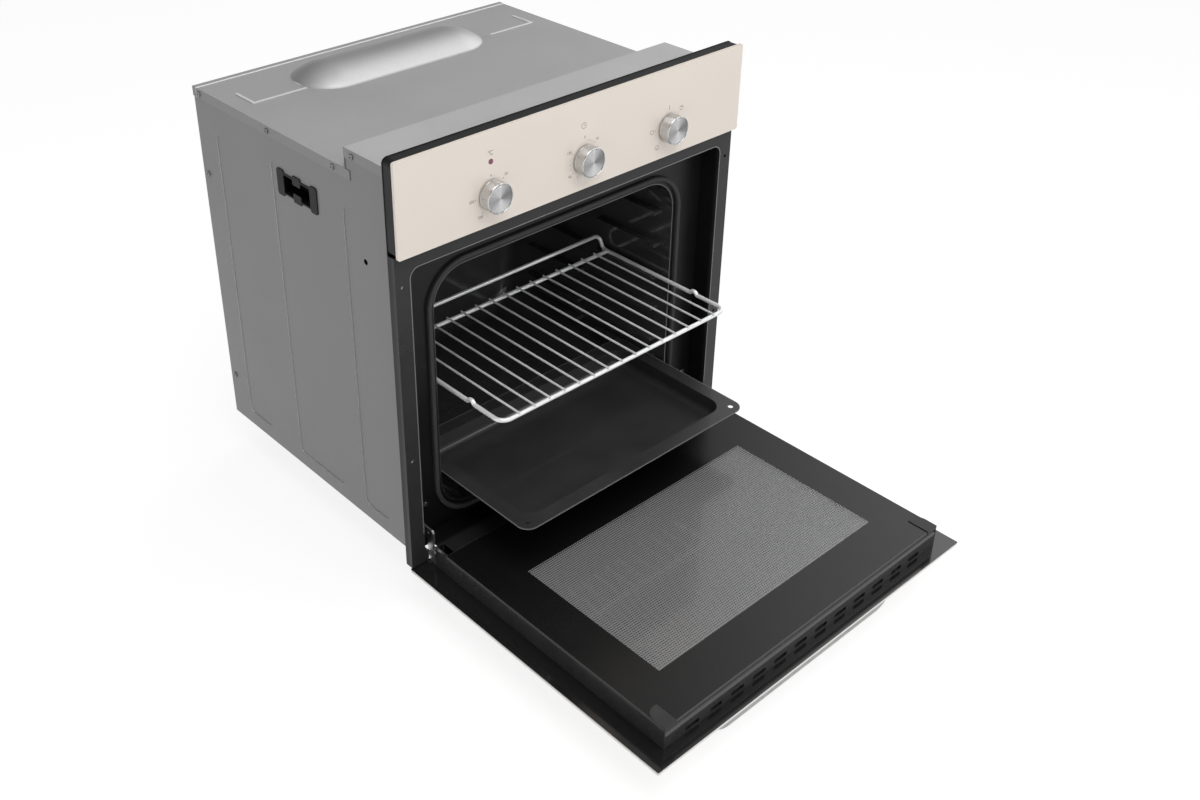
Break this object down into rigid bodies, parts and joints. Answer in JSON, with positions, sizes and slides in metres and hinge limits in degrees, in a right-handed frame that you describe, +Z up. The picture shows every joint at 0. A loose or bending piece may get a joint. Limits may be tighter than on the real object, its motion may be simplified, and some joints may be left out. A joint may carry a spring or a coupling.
{
  "type": "built-in oven",
  "caption": "Built-in electric oven with a drop-down glass door, bowed bar handle, turned knobs on a glass panel, a wire shelf and a baking tray in an enamelled cavity.",
  "frame": {"origin": "centre of the base's underside, between the sides and midway along the casing's depth", "axes": "+Z up, -Y out of the front towards the user, +X to the right as seen from the front"},
  "size_m": [0.595, 0.95, 0.651],
  "materials": {
    "galvanised": "dull galvanised sheet",
    "cover_steel": "bright galvanised sheet",
    "black_enamel": "glossy vitreous enamel",
    "frame_enamel": "satin black enamel",
    "door_steel": "black coated sheet",
    "seal_cord": "heat-proof woven seal",
    "mineral_wool": "fibre wool",
    "element_tube": "heat-darkened steel",
    "ceramic": "glazed ceramic",
    "clear_glass": "clear",
    "cream_glass": "glass printed cream on its back",
    "dark_glass": "cream outside, printed black inside with a dotted window",
    "pane_glass": "low-emission clear pane",
    "lens": "translucent dark magenta",
    "switch_plastic": "moulded housing",
    "shaft_steel": "plain steel",
    "knob_metal": "spun, radially brushed",
    "handle_metal": "satin",
    "grip_plastic": "moulded black",
    "zinc": "bright zinc plate",
    "chrome_wire": "bright plated wire"
  },
  "bodies": {
    "casing": {"base_panel": "galvanised", "side_panel_right": "galvanised", "side_panel_left": "galvanised", "rear_panel": "galvanised", "top_cover": "cover_steel", "front_top_cover": "cover_steel", "carrying_grip_right": "grip_plastic", "carrying_grip_left": "grip_plastic", "casing_screws": "zinc", "front_frame": "frame_enamel", "frame_screws": "zinc", "cavity_liner": "black_enamel", "cavity_seal": "seal_cord", "heating_element_top": "element_tube", "heating_element_bottom": "element_tube", "element_clips": "element_tube", "insulation": "mineral_wool", "lamp_holder": "ceramic", "lamp_glass": "clear_glass", "lamp_bulb": "clear_glass", "panel_glass": "cream_glass", "panel_carrier": "door_steel", "indicator_lens": "lens", "terminal_block": "switch_plastic", "cable_gland": "grip_plastic", "hinge_arm_right": "zinc", "hinge_arm_left": "zinc", "hinge_receiver_right": "galvanised", "hinge_receiver_left": "galvanised", "hinge_rollers": "zinc", "thermostat_body": "switch_plastic", "function_switch_body": "switch_plastic", "timer_body": "switch_plastic"},
    "door": {"door_outer_glass": "dark_glass", "door_inner_glass": "pane_glass", "door_side_profile_right": "door_steel", "door_side_profile_left": "door_steel", "door_end_profile": "door_steel", "door_hinge_profile": "door_steel", "door_corner_caps": "grip_plastic", "door_handle": "handle_metal", "door_handle_screws": "zinc", "hinge_case_right": "zinc", "hinge_case_left": "zinc", "hinge_pins": "zinc"},
    "rack": {"wire_rack": "chrome_wire"},
    "tray": {"baking_tray": "black_enamel"},
    "thermostat_control": {"thermostat_shaft": "shaft_steel", "thermostat_knob": "knob_metal"},
    "function_switch_control": {"function_switch_shaft": "shaft_steel", "function_switch_knob": "knob_metal"},
    "timer_control": {"timer_shaft": "shaft_steel", "timer_knob": "knob_metal"}
  },
  "joints": [
    {"name": "door_hinge", "type": "hinge", "parent": "casing", "child": "door", "pos_m": [0, -0.243, 0.006], "axis": [-1, 0, 0], "range_deg": [0, 90]},
    {"name": "rack_slide", "type": "slide", "parent": "casing", "child": "rack", "axis": [0, 1, 0], "range_m": [0, 0.13]},
    {"name": "tray_slide", "type": "slide", "parent": "casing", "child": "tray", "axis": [0, 1, 0], "range_m": [0, 0.173]},
    {"name": "thermostat_turn", "type": "hinge", "parent": "casing", "child": "thermostat_control", "pos_m": [-0.155, -0.257, 0.512], "axis": [0, 1, 0], "range_deg": [0, 280]},
    {"name": "function_switch_turn", "type": "hinge", "parent": "casing", "child": "function_switch_control", "pos_m": [0.155, -0.257, 0.512], "axis": [0, 1, 0], "continuous": true},
    {"name": "timer_turn", "type": "hinge", "parent": "casing", "child": "timer_control", "pos_m": [0, -0.257, 0.512], "axis": [0, 1, 0], "range_deg": [0, 330]}
  ],
  "couplings": [
    {"joint": "rack_slide", "follows": "door_hinge", "m_per_rad": 0.0827},
    {"joint": "tray_slide", "follows": "door_hinge", "m_per_rad": 0.11}
  ]
}
